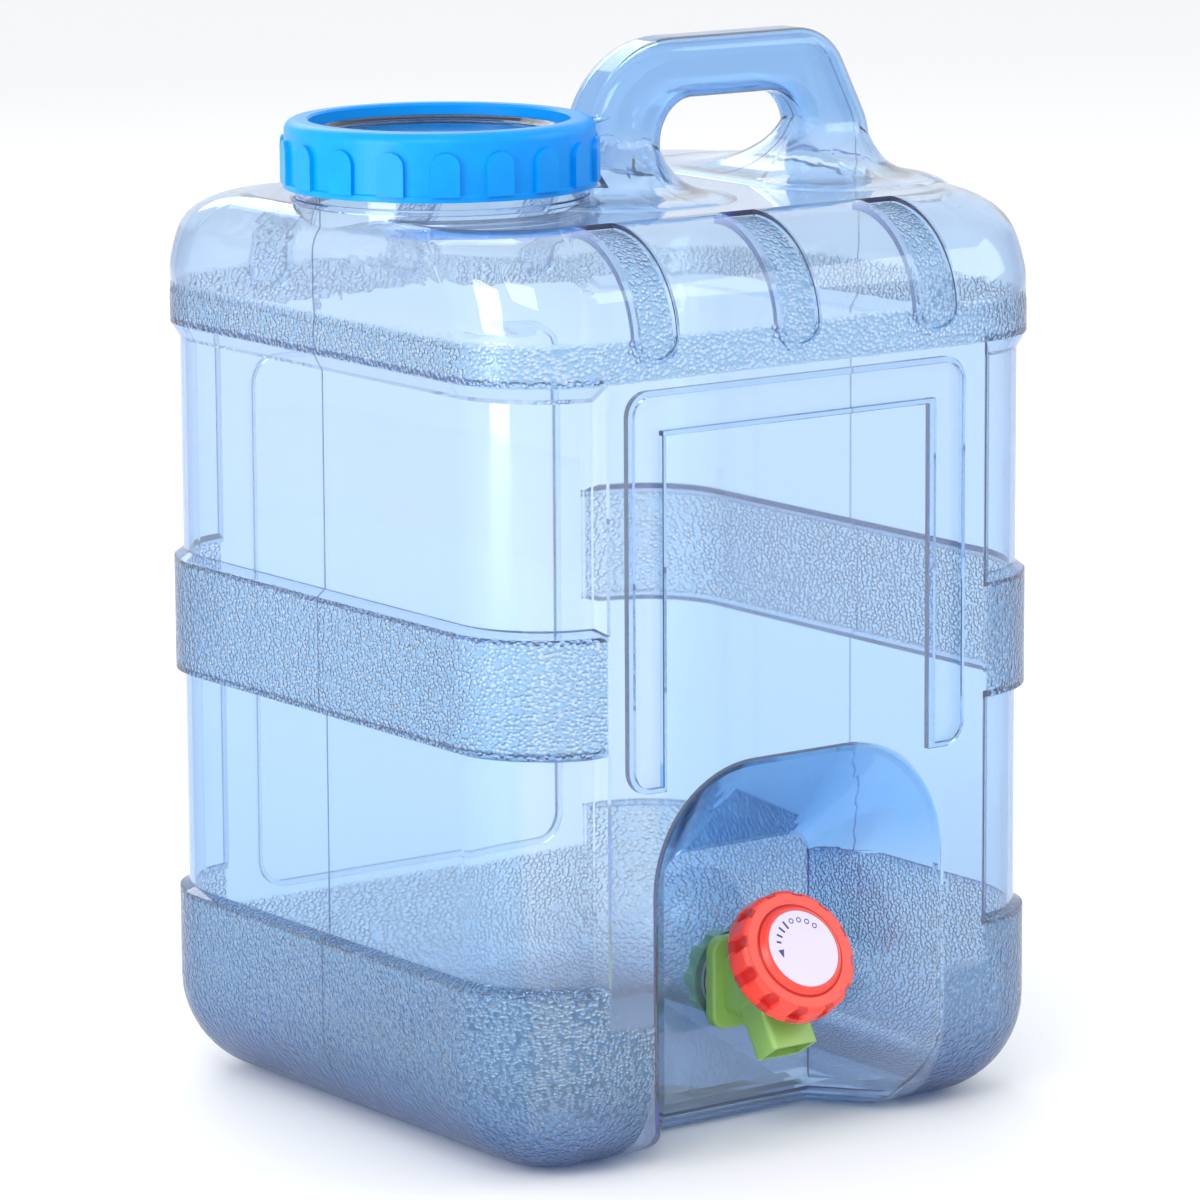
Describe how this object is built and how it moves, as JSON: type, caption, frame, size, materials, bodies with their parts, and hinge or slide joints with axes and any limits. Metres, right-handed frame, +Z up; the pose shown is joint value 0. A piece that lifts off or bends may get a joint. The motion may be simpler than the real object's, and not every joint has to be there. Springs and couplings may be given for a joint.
{
  "type": "large water jug",
  "caption": "Square clear blue water jug with a hollow carrying handle, a wide screw-ring lid and a screw-down tap in an arched recess.",
  "frame": {"origin": "centre of the base, on the surface that the jug stands on", "axes": "+Z up, -Y out of the front with the tap, +X towards the handle's outer foot"},
  "size_m": [0.2523, 0.2608, 0.3928],
  "materials": {
    "bottle_clear_blue": "clear blue polycarbonate, smooth and glossy, pebbled on the bands",
    "lid_blue": "semi-gloss",
    "lid_clear": "clear gloss",
    "seal_rubber": "soft silicone",
    "tap_green": "semi-gloss",
    "nut_green": "semi-gloss",
    "valve_white": "satin",
    "knob_red": "semi-gloss",
    "badge_lilac": "printed satin",
    "screw_steel": "brushed"
  },
  "bodies": {
    "jug": {"jug_body": "bottle_clear_blue", "tap_body": "tap_green", "tap_outer_gasket": "seal_rubber", "tap_inner_gasket": "seal_rubber", "tap_lock_nut": "nut_green", "valve_bonnet": "valve_white"},
    "lid": {"cap_disc": "lid_clear", "cap_gasket": "seal_rubber"},
    "lid_ring": {"cap_ring": "lid_blue"},
    "plunger": {"valve_jumper": "valve_white", "valve_washer": "seal_rubber"},
    "knob": {"valve_stem": "valve_white", "stem_o_ring": "seal_rubber", "tap_knob": "knob_red", "knob_badge": "badge_lilac", "knob_screw": "screw_steel"}
  },
  "joints": [
    {"name": "lid_lift", "type": "slide", "parent": "jug", "child": "lid", "axis": [0, 0, 1], "range_m": [0, 0.0091]},
    {"name": "lid_turn", "type": "hinge", "parent": "lid", "child": "lid_ring", "pos_m": [-0.069, 0, 0.357], "axis": [0, 0, 1], "range_deg": [0, 540]},
    {"name": "valve_lift", "type": "slide", "parent": "jug", "child": "plunger", "axis": [0, -0.848, 0.5299], "range_m": [0, 0.0045]},
    {"name": "knob_turn", "type": "hinge", "parent": "plunger", "child": "knob", "pos_m": [0, -0.11336, 0.0666], "axis": [0, -0.848, 0.5299], "range_deg": [0, 181]}
  ],
  "couplings": [
    {"joint": "lid_lift", "follows": "lid_turn", "m_per_rad": 0.00095493},
    {"joint": "knob_turn", "follows": "valve_lift", "rad_per_m": 698.13}
  ]
}
